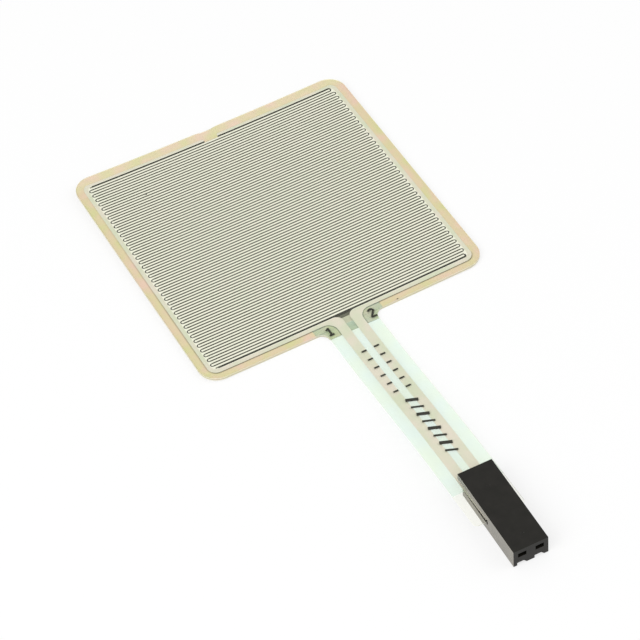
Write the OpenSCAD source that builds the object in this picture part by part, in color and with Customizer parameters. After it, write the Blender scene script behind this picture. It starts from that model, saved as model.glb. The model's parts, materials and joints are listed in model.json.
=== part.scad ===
// Force sensing resistor: a square pad of thin printed films with a flat tail,
// which ends in a two-way crimped socket connector.
// The origin is at the middle of the pad, on the face that lies on the surface.
// The tail runs towards -Y. All sizes are in millimetres.

/* [Pad] */
// Side of the square pad
pad_side = 43.69; // [40:0.01:50]
// Radius of the pad's outer corners
pad_corner_r = 2.8; // [2:0.1:4]
// Clear border between the pad's edge and the silver print
border_w = 1.2; // [1:0.05:1.8]
// Width of the shallow notch in the back edge
notch_w = 2; // [1:0.1:4]
// Depth of the shallow notch in the back edge
notch_depth = 0.18; // [0.1:0.01:0.4]

/* [Layers] */
// Thickness of the paper release liner
liner_t = 0.06; // [0.04:0.01:0.12]
// Thickness of the mounting adhesive
adhesive_t = 0.05; // [0.03:0.01:0.1]
// Thickness of the rear film
rear_film_t = 0.1; // [0.05:0.01:0.2]
// Thickness of the spacer that holds the two films apart
spacer_t = 0.12; // [0.08:0.01:0.2]
// Thickness of the front film
front_film_t = 0.125; // [0.07:0.005:0.2]
// Thickness of the silver print
silver_t = 0.02; // [0.01:0.005:0.03]
// Thickness of the carbon print
carbon_t = 0.02; // [0.01:0.005:0.03]
// Thickness of the green cover coat below the silver on the tail
coat_t = 0.03; // [0.02:0.005:0.04]
// Play between prints and spacer that lie side by side
print_gap = 0.04; // [0.02:0.01:0.08]

/* [Printed combs] */
// Distance from one finger to its neighbour on the other comb
finger_pitch = 0.5; // [0.45:0.01:0.52]
// Width of the gap between two fingers
finger_gap = 0.16; // [0.12:0.01:0.22]
// Width of the first and last gap, beside the front and back strips
edge_gap = 0.3; // [0.2:0.01:0.4]
// Width of the bus strips along the sides, and the least width along front and back
bus_w = 0.62; // [0.5:0.01:0.8]
// How much narrower the back strip is, since the print lies a little off the window
back_strip_inset = 0.2; // [0:0.05:0.3]
// Radius of the silver print's outer corners
silver_corner_r = 1.4; // [1.2:0.1:2]
// Length of silver between a side edge and the closed end of an edge gap
blind_end = 1.4; // [1.2:0.1:2]
// How far the first and last turn of the gap stay short of the others
edge_turn_inset = 0.25; // [0.1:0.05:0.4]
// Width of the break in the back strip, at the fingers
break_w = 2.1; // [1:0.1:3]
// Slant of each end of the back strip
break_slant = 0.6; // [0.2:0.1:1]

/* [Tail] */
// Length of the tail from the pad's front edge to the film's end
tail_l = 40.1; // [36:0.1:50]
// Width of the tail
tail_w = 7.62; // [7:0.01:9]
// Radius of the fillets where the tail leaves the pad
root_fillet_r = 1.35; // [0.8:0.05:2]
// Radius of the corners at the film's end
tail_end_r = 0.7; // [0.3:0.1:1.5]
// Distance between the middles of the two silver leads, as between the pins
lead_pitch = 2.54; // [2.3:0.01:2.8]
// Width of each silver lead
lead_w = 1.45; // [1.2:0.01:1.6]
// Radius on the outer side of a lead, where it leaves the front strip
lead_outer_r = 1.55; // [1:0.05:2]
// Radius on the inner side of a lead, where it leaves the front strip
lead_inner_r = 1.15; // [0.8:0.05:1.4]
// Width of the air vent through the spacer, below the leads
vent_w = 3.6; // [3.4:0.1:3.9]
// How far the carbon print reaches into the vent
carbon_tab = 0.45; // [0.2:0.05:0.8]
// Silver-free margin at the film's end
lead_end_margin = 0.4; // [0.2:0.1:1]
// Width of the cover coat beside the tail's root
coat_root_w = 10.4; // [9:0.1:12]
// Distance from the silver's front edge to the cover coat between the leads
coat_setback = 1.1; // [0.8:0.1:1.5]
// How far the cover coat stays back below the leads, along that silver-free stretch
coat_inset = 0.2; // [0.1:0.05:0.4]
// Length of each lead that the cover coat leaves bare at the connector
bare_lead_l = 5.8; // [5:0.1:6.5]
// Distance past the pad's edge at which the tail starts to rise
rise_start = 2.4; // [1.8:0.1:4]
// Level run of the film behind the connector
rise_end = 2; // [1:0.1:4]

/* [Connector housing] */
// Length of the film inside the housing
film_insert = 7.65; // [7:0.05:9]
// Width of the housing
housing_w = 5.08; // [5:0.01:5.6]
// Length of the housing
housing_l = 14.6; // [13.5:0.1:18]
// Height of the housing
housing_h = 3.1; // [3:0.05:4]
// Bevel along the housing's edges
housing_bevel = 0.06; // [0.04:0.01:0.2]
// How far the housing's rear sits to the right of the tail's middle
housing_shift = 0.65; // [0:0.05:0.75]
// Angle by which the housing is crimped out of line, its front to the left
housing_skew = 1.5; // [0:0.1:2]
// Height of the film's underside above the surface, inside the housing
film_level = 1.6; // [1.55:0.01:1.7]
// Height of the film slot's floor
slot_floor = 1.28; // [1.2:0.01:1.35]
// Height of the film slot
slot_h = 0.76; // [0.7:0.01:0.9]
// Play between the film's end and the end of the slot
slot_play = 0.3; // [0.2:0.1:1]
// How far the lower jaw stays short of the top plate at the rear
jaw_setback = 1.3; // [0.5:0.1:2]
// Thickness of the front wall with the two sockets
front_wall = 0.8; // [0.5:0.1:1.2]
// Width of a socket in the front wall
socket_w = 1.2; // [1:0.05:1.3]
// Height of a socket in the front wall
socket_h = 0.74; // [0.7:0.01:0.8]
// Depth of the grooves along the underside
groove_depth = 0.56; // [0.3:0.02:0.66]
// Width of a groove's ceiling
groove_top_w = 0.95; // [0.7:0.05:1.1]
// Width of a groove at the underside
groove_base_w = 1.45; // [1.2:0.05:1.5]
// Distance from a groove's upright wall to the middle of its socket
groove_offset = 0.74; // [0.6:0.01:0.85]
// Length of the grooves from the front face
groove_l = 8; // [4:0.5:10]
// Distance from the housing's rear to the first moulding mark on top
mark_rear = 3.8; // [2:0.1:5]
// Distance from the housing's front to the second moulding mark on top
mark_front = 2; // [1:0.1:4]
// Diameter of the two shallow moulding marks on top
mark_d = 0.55; // [0.3:0.05:0.8]
// Depth of the moulding marks
mark_depth = 0.03; // [0.01:0.01:0.06]

/* [Contacts] */
// Thickness of the contact's metal
metal_t = 0.15; // [0.1:0.01:0.18]
// Width of the box that holds the beams
box_w = 1.5; // [1.4:0.01:1.6]
// Inner height of the box
box_h = 0.8; // [0.75:0.01:0.85]
// Length of the box
box_l = 1.8; // [1:0.1:2.5]
// Length of each spring beam in front of the box
beam_l = 3.1; // [2:0.1:3.5]
// Width of each spring beam
beam_w = 0.9; // [0.7:0.05:1.1]
// Open height between the two beams where they grip the pin
beam_mouth = 0.44; // [0.3:0.01:0.6]
// How far each beam's tip opens out again
beam_flare = 0.15; // [0.05:0.01:0.17]
// Width of the strip under the film
strip_w = 1.2; // [1:0.05:1.4]
// Bare silver between the cover coat and the strip
strip_margin = 0.15; // [0.14:0.01:0.4]
// Play round a contact in its cavity
contact_play = 0.05; // [0.03:0.01:0.1]
// Number of pairs of tines that pierce the film
tine_pairs = 3; // [1:1:4]
// Distance between two pairs of tines
tine_pitch = 1.5; // [1.2:0.1:1.8]
// Width of a tine along the tail
tine_w = 0.5; // [0.3:0.05:0.6]
// Length of the tine's end that is folded down on the film
tine_fold = 0.42; // [0.3:0.02:0.44]
// Play round a tine in the film
tine_play = 0.02; // [0.01:0.01:0.05]

/* [Hidden] */
$fn = 48;
// Straight steps that make up the tail's smooth bend
BEND_STEPS = 24;
// How far a cut reaches past the face that it opens
PAST = 1;

half = pad_side / 2;
adhesive_z = liner_t;
rear_film_z = adhesive_z + adhesive_t;
gap_z = rear_film_z + rear_film_t;
front_film_z = gap_z + spacer_t;
silver_z = front_film_z - silver_t;
coat_z = silver_z - coat_t;

silver_half = half - border_w;
back_y = silver_half - back_strip_inset;
finger_w = finger_pitch - finger_gap;
turn_r = finger_gap + finger_w / 2;
turn_x = silver_half - bus_w - turn_r;
strip_limit = silver_half - bus_w - edge_gap + finger_gap / 2;
left_fingers = floor(strip_limit / finger_pitch + 0.5);
line_count = 2 * left_fingers;
line_top = (line_count - 1) * finger_pitch / 2;
strip_in = line_top - finger_gap / 2 + edge_gap;
edge_turn_r = (finger_gap + finger_w + edge_gap) / 2;
edge_turn_x = turn_x + turn_r - edge_turn_inset - edge_turn_r;
blind_x = silver_half - blind_end;
carbon_half = turn_x + turn_r + 2 * print_gap;
spacer_in = carbon_half + print_gap;
field_corner_r = silver_corner_r - bus_w;

lead_in = lead_pitch / 2 - lead_w / 2;
lead_out = lead_pitch / 2 + lead_w / 2;
root_x = lead_in + lead_inner_r;
tab_y = -half - root_fillet_r;
tail_y = tab_y + root_fillet_r / 4;
lead_root_y = -silver_half - lead_outer_r;
rise_y = -half - rise_start;
film_end = -half - tail_l;
housing_rear = film_end + film_insert;
housing_front = housing_rear - housing_l;
level_y = housing_rear + rise_end;
lead_end = film_end + lead_end_margin;
coat_end = film_end + bare_lead_l;
rise = film_level - front_film_z;
run = rise_y - level_y;

slot_end = film_end - slot_play;
strip_top = film_level - silver_t;
box_floor = strip_top - metal_t;
pin_z = strip_top + box_h / 2;
cavity_w = box_w + 2 * contact_play;
cavity_floor = box_floor - contact_play;
cavity_top = strip_top + box_h + metal_t + contact_play;
cavity_front = housing_front + front_wall;
beam_front = cavity_front + contact_play;
box_front = beam_front + beam_l;
box_rear = box_front + box_l;
strip_rear = coat_end - strip_margin;
tine_mid = (lead_end + strip_rear) / 2;
tine_x = strip_w / 2 - metal_t / 2;
mark_y = [housing_rear - mark_rear, housing_front + mark_front];

// Middles of the two sockets, left then right
socket_x = [housing_shift - lead_pitch / 2, housing_shift + lead_pitch / 2];

// Height of gap line k, counted from 1 at the back
function line_y(k) = line_top - (k - 1) * finger_pitch;

// Middle of the finger between gap lines k and k + 1
function finger_y(k) = line_y(k) - finger_pitch / 2;

// Middles of the pairs of tines along the tail
function tine_y(i) = tine_mid + (i - (tine_pairs - 1) / 2) * tine_pitch;

// Point of the tail's underside at a share t of its rising stretch, moved out by d at right
// angles to the film: the height follows half a cosine wave, so both ends run in level
function rise_point(t, d) =
    let (climb = rise * PI / 2 * sin(180 * t), slant = sqrt(run * run + climb * climb))
    [rise_y - run * t + d * climb / slant,
     front_film_z + rise * (1 - cos(180 * t)) / 2 + d * run / slant];

// Rectangle between two corners
module area(x0, y0, x1, y1) {
    translate([x0, y0]) square([x1 - x0, y1 - y0]);
}

// Box between two corners
module block(x0, y0, z0, x1, y1, z1) {
    translate([x0, y0, z0]) cube([x1 - x0, y1 - y0, z1 - z0]);
}

module rounded_square(side, r) {
    square([side, side - 2 * r], center = true);
    square([side - 2 * r, side], center = true);
    for (x = [-1, 1], y = [-1, 1])
        translate([x * (side / 2 - r), y * (side / 2 - r)]) circle(r = r);
}

// A shape drawn for the right side, on the right or mirrored to the left
module on_side(s) {
    if (s > 0) children();
    else mirror([1, 0, 0]) children();
}

// What belongs to the crimped connector, turned about the middle of the housing's rear
module crimped() {
    translate([housing_shift, housing_rear, 0]) rotate([0, 0, -housing_skew])
        translate([-housing_shift, -housing_rear, 0]) children();
}

// A profile in Y and Z drawn out along X, with its middle at x
module along_x(x, w) {
    translate([x, 0, 0]) rotate([90, 0, 90]) linear_extrude(height = w, center = true) children();
}

// A profile in X and Z drawn out along Y, from y0 to y1
module along_y(y0, y1) {
    translate([0, y1, 0]) rotate([90, 0, 0]) linear_extrude(height = y1 - y0) children();
}

// Pad with the notch in its back edge
module pad_plan() {
    difference() {
        rounded_square(pad_side, pad_corner_r);
        area(-notch_w / 2, half - notch_depth, notch_w / 2, half + PAST);
    }
}

// Pad with the short tab and its fillets at the tail's root
module tab_plan() {
    pad_plan();
    difference() {
        area(-tail_w / 2 - root_fillet_r, tab_y, tail_w / 2 + root_fillet_r, -half + PAST);
        for (x = [-1, 1])
            translate([x * (tail_w / 2 + root_fillet_r), tab_y]) circle(r = root_fillet_r);
    }
}

// Break in the back strip, where the spacer shows; play widens it
module break_plan(play) {
    w = break_w / 2 + play;
    polygon([[-w, strip_in - edge_gap - play], [w, strip_in - edge_gap - play], [w, strip_in],
             [w + break_slant, half], [-w - break_slant, half], [-w, strip_in]]);
}

// Right half of the silver frame round the fingers, open at the tail and at the break
module frame_plan() {
    difference() {
        rounded_square(2 * silver_half, silver_corner_r);
        area(-half, -half, 0, half);
        area(-half, back_y, half, half);
        area(-PAST, -strip_in, turn_x, strip_in);
        area(-PAST, -half, root_x, -strip_in);
        break_plan(0);
    }
}

// Turns of the gap at the right bus, which join lines k and k + 1 by twos from the first
module turns_plan(first, last) {
    for (k = [first : 2 : last])
        translate([turn_x, finger_y(k)]) circle(r = turn_r);
}

// Finger k from the left bus, with a round end whose middle is at x = reach
module finger_plan(k, reach) {
    area(-turn_x, finger_y(k) - finger_w / 2, reach, finger_y(k) + finger_w / 2);
    translate([reach, finger_y(k)]) circle(r = finger_w / 2);
}

// Bend from the right front strip into its lead
module lead_root_plan() {
    area(lead_in, tab_y, lead_out, lead_root_y);
    difference() {
        union() {
            area(lead_in, lead_root_y, root_x, -strip_in - lead_inner_r);
            area(root_x, lead_root_y, lead_out + lead_outer_r, -strip_in);
            translate([root_x, -strip_in - lead_inner_r]) circle(r = lead_inner_r);
        }
        translate([lead_out + lead_outer_r, lead_root_y]) circle(r = lead_outer_r);
    }
}

// Left comb: the fingers between lines 1 and 2, 3 and 4, and so on
module left_comb_plan() {
    difference() {
        on_side(-1) frame_plan();
        on_side(-1) turns_plan(2, line_count - 2);
    }
    for (k = [1 : 2 : line_count - 1])
        finger_plan(k, k == 1 || k == line_count - 1 ? edge_turn_x : turn_x);
    for (y = [0, 1])
        mirror([0, y]) area(-turn_x, finger_y(1) - finger_w / 2, -blind_x, strip_in);
    on_side(-1) lead_root_plan();
}

// Right comb: the fingers between lines 2 and 3, 4 and 5, and so on
module right_comb_plan() {
    edge_y = strip_in - edge_turn_r;
    difference() {
        union() {
            frame_plan();
            for (y = [0, 1])
                mirror([0, y]) area(edge_turn_x, edge_y - edge_turn_r, turn_x, strip_in);
        }
        turns_plan(3, line_count - 3);
        for (y = [-1, 1])
            translate([edge_turn_x, y * edge_y]) circle(r = edge_turn_r);
    }
    for (k = [2 : 2 : line_count - 2])
        mirror([1, 0]) finger_plan(k, turn_x);
    lead_root_plan();
}

// Outline of all the silver on the pad, filled, with play round it
module silver_area(play) {
    difference() {
        rounded_square(2 * (silver_half + play), silver_corner_r + play);
        area(-half, back_y + play, half, half);
    }
}

// Cover coat at the tail's root, with the silver-free stretch between the leads cut out
module coat_root_plan() {
    top = -silver_half - print_gap;
    difference() {
        intersection() {
            area(-coat_root_w / 2, tab_y, coat_root_w / 2, top);
            tab_plan();
        }
        area(-lead_in - coat_inset, top - coat_setback, lead_in + coat_inset, top + PAST);
    }
}

// Side profile of a layer of the tail between two distances from the film's underside:
// level at the pad, then rising, then level to its end at y
module tail_profile(y, lo, hi) {
    polygon(concat([[tail_y, front_film_z + lo]],
                   [for (i = [0 : BEND_STEPS]) rise_point(i / BEND_STEPS, lo)],
                   [[y, film_level + lo], [y, film_level + hi]],
                   [for (i = [BEND_STEPS : -1 : 0]) rise_point(i / BEND_STEPS, hi)],
                   [[tail_y, front_film_z + hi]]));
}

// Slits that the tines pierce in the film's end
module tine_slits() {
    w = metal_t / 2 + tine_play;
    l = tine_w / 2 + tine_play;
    crimped() for (x = socket_x, s = [-1, 1], i = [0 : tine_pairs - 1])
        translate([x + s * tine_x, tine_y(i)]) area(-w, -l, w, l);
}

// Tail with the round corners of the film's end
module tail_plan() {
    difference() {
        union() {
            area(-tail_w / 2, film_end + tail_end_r, tail_w / 2, tail_y + PAST);
            area(-tail_w / 2 + tail_end_r, film_end, tail_w / 2 - tail_end_r, tail_y + PAST);
            for (x = [-1, 1])
                translate([x * (tail_w / 2 - tail_end_r), film_end + tail_end_r]) circle(r = tail_end_r);
        }
        tine_slits();
    }
}

// A lead beyond the pad
module lead_run(s) {
    difference() {
        along_x(s * lead_pitch / 2, lead_w) tail_profile(lead_end, -silver_t, 0);
        linear_extrude(height = housing_h) tine_slits();
    }
}

module release_liner() {
    color("#e9e2cf") linear_extrude(height = liner_t) pad_plan();
}

module mounting_adhesive() {
    color("#efe9da") translate([0, 0, adhesive_z]) linear_extrude(height = adhesive_t) pad_plan();
}

module rear_film() {
    color("#dfe6dc", 0.9) translate([0, 0, rear_film_z]) linear_extrude(height = rear_film_t) tab_plan();
}

// Carbon print on the rear film, with a tab that shows between the leads
module carbon_layer() {
    color("#4a4c45") translate([0, 0, gap_z]) linear_extrude(height = carbon_t) difference() {
        union() {
            rounded_square(2 * carbon_half, field_corner_r);
            area(-vent_w / 2 + print_gap, -carbon_half - carbon_tab, vent_w / 2 - print_gap, -carbon_half + PAST);
        }
        break_plan(print_gap);
    }
}

// Adhesive spacer: a ring with a vent towards the tail, recessed round the prints above it
module spacer() {
    color("#e4d0a8") difference() {
        translate([0, 0, gap_z]) linear_extrude(height = spacer_t) difference() {
            tab_plan();
            difference() {
                rounded_square(2 * spacer_in, field_corner_r + print_gap);
                break_plan(0);
            }
            area(-vent_w / 2, tab_y - PAST, vent_w / 2, -spacer_in + PAST);
        }
        translate([0, 0, silver_z]) linear_extrude(height = spacer_t) {
            difference() {
                silver_area(print_gap);
                break_plan(-print_gap);
            }
            area(-lead_out - lead_outer_r, tab_y - PAST, lead_out + lead_outer_r, -silver_half);
        }
        translate([0, 0, coat_z]) linear_extrude(height = spacer_t)
            area(-coat_root_w / 2 - print_gap, tab_y - PAST, coat_root_w / 2 + print_gap, -silver_half);
    }
}

module left_comb() {
    color("#d9dcc9") {
        translate([0, 0, silver_z]) linear_extrude(height = silver_t) left_comb_plan();
        lead_run(-1);
    }
}

module right_comb() {
    color("#d9dcc9") {
        translate([0, 0, silver_z]) linear_extrude(height = silver_t) right_comb_plan();
        lead_run(1);
    }
}

module front_film() {
    color("#e8efe6", 0.25) {
        translate([0, 0, front_film_z]) linear_extrude(height = front_film_t) tab_plan();
        intersection() {
            along_x(0, tail_w + PAST) tail_profile(film_end - PAST, 0, front_film_t);
            linear_extrude(height = housing_h) tail_plan();
        }
    }
}

// Green cover coat on the tail's underside: a thin layer below the leads, and beside them
// strips that fill up to the film
module tail_coat() {
    depth = silver_t + coat_t;
    edge_w = tail_w / 2 - lead_out;
    color("#d3f2dc", 0.7) {
        translate([0, 0, coat_z]) linear_extrude(height = coat_t) coat_root_plan();
        translate([0, 0, coat_z]) linear_extrude(height = depth) difference() {
            coat_root_plan();
            for (s = [-1, 1]) on_side(s) lead_root_plan();
        }
        along_x(0, tail_w) tail_profile(coat_end, -depth, -silver_t);
        along_x(0, 2 * lead_in) tail_profile(coat_end, -depth, 0);
        for (s = [-1, 1])
            along_x(s * (lead_out + edge_w / 2), edge_w) tail_profile(coat_end, -depth, 0);
    }
}

// Block of the housing with bevelled edges
module housing_block() {
    b = housing_bevel;
    w = housing_w / 2;
    intersection() {
        translate([housing_shift, 0, 0]) along_y(housing_front, housing_rear)
            polygon([[-w + b, 0], [w - b, 0], [w, b], [w, housing_h - b], [w - b, housing_h],
                     [-w + b, housing_h], [-w, housing_h - b], [-w, b]]);
        along_x(housing_shift, housing_w)
            polygon([[housing_front + b, 0], [housing_rear - b, 0], [housing_rear, b],
                     [housing_rear, housing_h - b], [housing_rear - b, housing_h],
                     [housing_front + b, housing_h], [housing_front, housing_h - b], [housing_front, b]]);
    }
}

module connector_housing() {
    left = housing_shift - housing_w / 2 - PAST;
    right = housing_shift + housing_w / 2 + PAST;
    behind = housing_rear + PAST;
    color("#2f2f31") crimped() difference() {
        housing_block();
        block(left, slot_end, slot_floor, right, behind, slot_floor + slot_h);
        block(left, housing_rear - jaw_setback, -PAST, right, behind, slot_floor + slot_h / 2);
        for (x = socket_x) {
            block(x - cavity_w / 2, cavity_front, cavity_floor, x + cavity_w / 2, behind, cavity_top);
            block(x - socket_w / 2, housing_front - PAST, pin_z - socket_h / 2,
                  x + socket_w / 2, cavity_front + PAST, pin_z + socket_h / 2);
            translate([x - groove_offset, 0, 0]) along_y(housing_front - PAST, housing_front + groove_l)
                polygon([[0, groove_depth], [groove_top_w, groove_depth], [groove_base_w, 0],
                         [groove_base_w, -PAST], [0, -PAST]]);
        }
        for (y = mark_y)
            translate([housing_shift, y, housing_h - mark_depth]) cylinder(h = PAST, d = mark_d);
    }
}

// One of the two spring beams: it closes on the pin and opens again at its tip
module beam() {
    grip = beam_front + beam_l / 4;
    top = pin_z - beam_mouth / 2;
    root = box_front + metal_t;
    along_x(0, beam_w)
        polygon([[root, strip_top], [box_front, strip_top], [grip, top], [beam_front, top - beam_flare],
                 [beam_front, top - beam_flare - metal_t], [grip, top - metal_t],
                 [box_front, box_floor], [root, box_floor]]);
}

// A tine: it stands up through the film and is folded down on its top
module tine() {
    fold_z = film_level + front_film_t;
    block(-metal_t / 2, -tine_w / 2, box_floor, metal_t / 2, tine_w / 2, fold_z + metal_t);
    block(-metal_t / 2 - tine_fold, -tine_w / 2, fold_z, metal_t / 2, tine_w / 2, fold_z + metal_t);
}

// One stamped contact with its middle at x
module contact(x) {
    wall = box_w / 2;
    translate([x, 0, 0]) {
        difference() {
            block(-wall, box_front, box_floor, wall, box_rear, strip_top + box_h + metal_t);
            block(-wall + metal_t, box_front - PAST, strip_top, wall - metal_t, box_rear + PAST, strip_top + box_h);
        }
        block(-strip_w / 2, box_rear - metal_t, box_floor, strip_w / 2, strip_rear, strip_top);
        beam();
        translate([0, 0, 2 * pin_z]) mirror([0, 0, 1]) beam();
        for (s = [-1, 1], i = [0 : tine_pairs - 1])
            translate([s * tine_x, tine_y(i), 0]) on_side(s) tine();
    }
}

module left_contact() {
    color("#c9b27a") crimped() contact(socket_x[0]);
}

module right_contact() {
    color("#c9b27a") crimped() contact(socket_x[1]);
}

release_liner();
mounting_adhesive();
rear_film();
carbon_layer();
spacer();
left_comb();
right_comb();
front_film();
tail_coat();
connector_housing();
left_contact();
right_contact();
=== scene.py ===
"""Looks of a force sensing resistor: a square pad of printed polyester films with a flat
tail that ends in a crimped two-way socket connector.

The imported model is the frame. The contacts are its own nodes with new materials. The
layers of the pad are its own solids laid on the pad's slight curl. The front film, the
cover coat, the black marks and the softly edged housing are built here. All lengths are
in millimetres until a mesh is made, which is in metres.
"""

import json
import logging
import math
from dataclasses import dataclass, field
from enum import Enum
from typing import Any

import bmesh
import bpy
import numpy as np
from mathutils import Matrix, Vector

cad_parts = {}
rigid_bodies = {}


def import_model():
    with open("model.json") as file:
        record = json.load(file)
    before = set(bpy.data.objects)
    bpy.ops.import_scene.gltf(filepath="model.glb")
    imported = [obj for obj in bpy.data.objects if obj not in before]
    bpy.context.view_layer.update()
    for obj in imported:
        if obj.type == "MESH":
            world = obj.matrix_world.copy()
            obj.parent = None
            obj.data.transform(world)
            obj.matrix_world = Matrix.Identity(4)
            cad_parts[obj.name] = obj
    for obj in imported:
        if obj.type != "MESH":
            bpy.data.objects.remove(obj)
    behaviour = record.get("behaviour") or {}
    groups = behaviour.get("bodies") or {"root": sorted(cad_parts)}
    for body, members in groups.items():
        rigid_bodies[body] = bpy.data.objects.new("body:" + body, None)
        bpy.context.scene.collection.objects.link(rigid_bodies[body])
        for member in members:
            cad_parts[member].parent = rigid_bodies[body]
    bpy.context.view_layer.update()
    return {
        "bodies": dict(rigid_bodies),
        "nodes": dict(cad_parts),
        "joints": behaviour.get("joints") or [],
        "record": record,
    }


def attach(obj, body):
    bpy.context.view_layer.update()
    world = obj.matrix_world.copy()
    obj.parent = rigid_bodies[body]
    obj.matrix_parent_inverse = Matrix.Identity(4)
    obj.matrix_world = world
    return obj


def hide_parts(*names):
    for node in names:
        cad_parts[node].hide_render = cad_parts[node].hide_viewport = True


LOG = logging.getLogger("force_sensing_resistor")
Tree = bpy.types.NodeTree
Socket = bpy.types.NodeSocket
MM = 0.001
# Distance at which two loose corners of a solid are one.
MERGE = 0.001
# Range that a noise texture keeps to, but for a few peaks, and octaves of a fine grain.
NOISE_RANGE = (0.3, 0.7)
GRAIN_DETAIL = 2.0
# Field of the comb's fingers, where the inks look different: half its side, the radius of
# its corners, the fade of its edge, and how far an ink takes on its field colour there.
FIELD_HALF = 20.0
FIELD_R = 0.9
FIELD_EDGE = 0.1
FIELD_SHARE = 0.8


class Layer(Enum):
    """Places in the stack of films, by the name of the frame's node."""

    LINER = "release_liner"
    ADHESIVE = "mounting_adhesive"
    REAR_FILM = "rear_film"
    CARBON = "carbon_layer"
    SPACER = "spacer"
    LEFT_COMB = "left_comb"
    RIGHT_COMB = "right_comb"
    FRONT_FILM = "front_film"
    COAT = "tail_coat"
    HOUSING = "connector_housing"
    LEFT_CONTACT = "left_contact"
    RIGHT_CONTACT = "right_contact"


def linear(colour: str) -> tuple[float, float, float, float]:
    """Turn an sRGB hex colour into linear light.

    Args:
        colour: Six hex digits after a number sign.

    Returns:
        Red, green, blue and an alpha of 1.
    """
    parts = [int(colour[i : i + 2], 16) / 255 for i in (1, 3, 5)]
    lit = [c / 12.92 if c <= 0.04045 else ((c + 0.055) / 1.055) ** 2.4 for c in parts]
    return (lit[0], lit[1], lit[2], 1.0)


def add_node(
    tree: Tree,
    kind: str,
    inputs: dict[str | int, Any] | None = None,
    settings: dict[str, Any] | None = None,
) -> bpy.types.Node:
    """Add one shader node.

    Args:
        tree: Node tree that gets the node.
        kind: Blender's name of the node type.
        inputs: Value of each input by name or number, or the output socket that feeds it.
        settings: Attributes of the node itself.

    Returns:
        The new node.
    """
    node = tree.nodes.new(kind)
    for name, value in (settings or {}).items():
        setattr(node, name, value)
    for name, value in (inputs or {}).items():
        if isinstance(value, Socket):
            tree.links.new(value, node.inputs[name])
        else:
            node.inputs[name].default_value = value
    return node


def calc(tree: Tree, operation: str, first: Socket | float, second: Socket | float = 0.0) -> Socket:
    """Work out one sum of two numbers or sockets.

    Args:
        tree: Node tree that gets the node.
        operation: Blender's name of the sum.
        first: First number, or the socket that gives it.
        second: Second one.

    Returns:
        Socket with the result.
    """
    inputs = {0: first, 1: second}
    return add_node(tree, "ShaderNodeMath", inputs, {"operation": operation}).outputs["Value"]


def length(tree: Tree, across: Socket, along: Socket) -> Socket:
    """Give the length sqrt(a^2 + b^2) of a flat arrow from its two parts."""
    squares = [calc(tree, "MULTIPLY", part, part) for part in (across, along)]
    return calc(tree, "SQRT", calc(tree, "ADD", *squares))


def ramp(
    tree: Tree, value: Socket, reach: tuple[float, float], result: tuple[float, float]
) -> Socket:
    """Carry a value from one range over to another, held at its ends.

    Args:
        tree: Node tree that gets the node.
        value: Socket with the value.
        reach: Start and end of the value's range.
        result: What the two become.

    Returns:
        Socket with the result.
    """
    names = ("Value", "From Min", "From Max", "To Min", "To Max")
    inputs = dict(zip(names, (value, *reach, *result)))
    return add_node(tree, "ShaderNodeMapRange", inputs).outputs["Result"]


def blend(tree: Tree, share: Socket, under: Socket | str, over: str) -> Socket:
    """Mix a colour over another.

    Args:
        tree: Node tree that gets the node.
        share: Share of the second colour.
        under: First colour, as a socket or in sRGB.
        over: Second colour in sRGB.

    Returns:
        Socket with the mixed colour.
    """
    below = linear(under) if isinstance(under, str) else under
    inputs = {"Factor": share, 6: below, 7: linear(over)}
    return add_node(tree, "ShaderNodeMix", inputs, {"data_type": "RGBA"}).outputs[2]


def noise(tree: Tree, place: Socket, size_mm: float, detail: float) -> Socket:
    """Give cloudy noise over the object, with clouds of about that size."""
    inputs = {"Vector": place, "Scale": 1 / (size_mm * MM), "Detail": detail}
    return add_node(tree, "ShaderNodeTexNoise", inputs).outputs["Fac"]


def mix_shaders(tree: Tree, share: Socket | float, first: Socket, second: Socket) -> Socket:
    """Mix two shaders by the second one's share."""
    inputs = {"Fac": share, 1: first, 2: second}
    return add_node(tree, "ShaderNodeMixShader", inputs).outputs["Shader"]


def outside(tree: Tree, place: Socket, half: float, radius: float) -> tuple[Socket, Socket, Socket]:
    """Measure how far a place lies outside a square window with round corners.

    Args:
        tree: Node tree that gets the nodes.
        place: Object coordinates.
        half: Half the window's side in millimetres.
        radius: Radius of its corners.

    Returns:
        The distance length(max(|x| - (half - r), 0), max(|y| - (half - r), 0)) - r, and
        the place's own x and y, all in millimetres.
    """
    axes = add_node(tree, "ShaderNodeSeparateXYZ", {"Vector": place}).outputs
    x, y = (calc(tree, "DIVIDE", axes[name], MM) for name in ("X", "Y"))
    past = [
        calc(tree, "MAXIMUM", calc(tree, "SUBTRACT", calc(tree, "ABSOLUTE", v), half - radius))
        for v in (x, y)
    ]
    return calc(tree, "SUBTRACT", length(tree, *past), radius), x, y


def empty_material(name: str) -> tuple[bpy.types.Material, Tree]:
    """Make a material whose node tree is still empty.

    Args:
        name: Name of the material.

    Returns:
        The material and its node tree.
    """
    material = bpy.data.materials.new(name)
    material.use_nodes = True
    material.node_tree.nodes.clear()
    return material, material.node_tree


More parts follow.
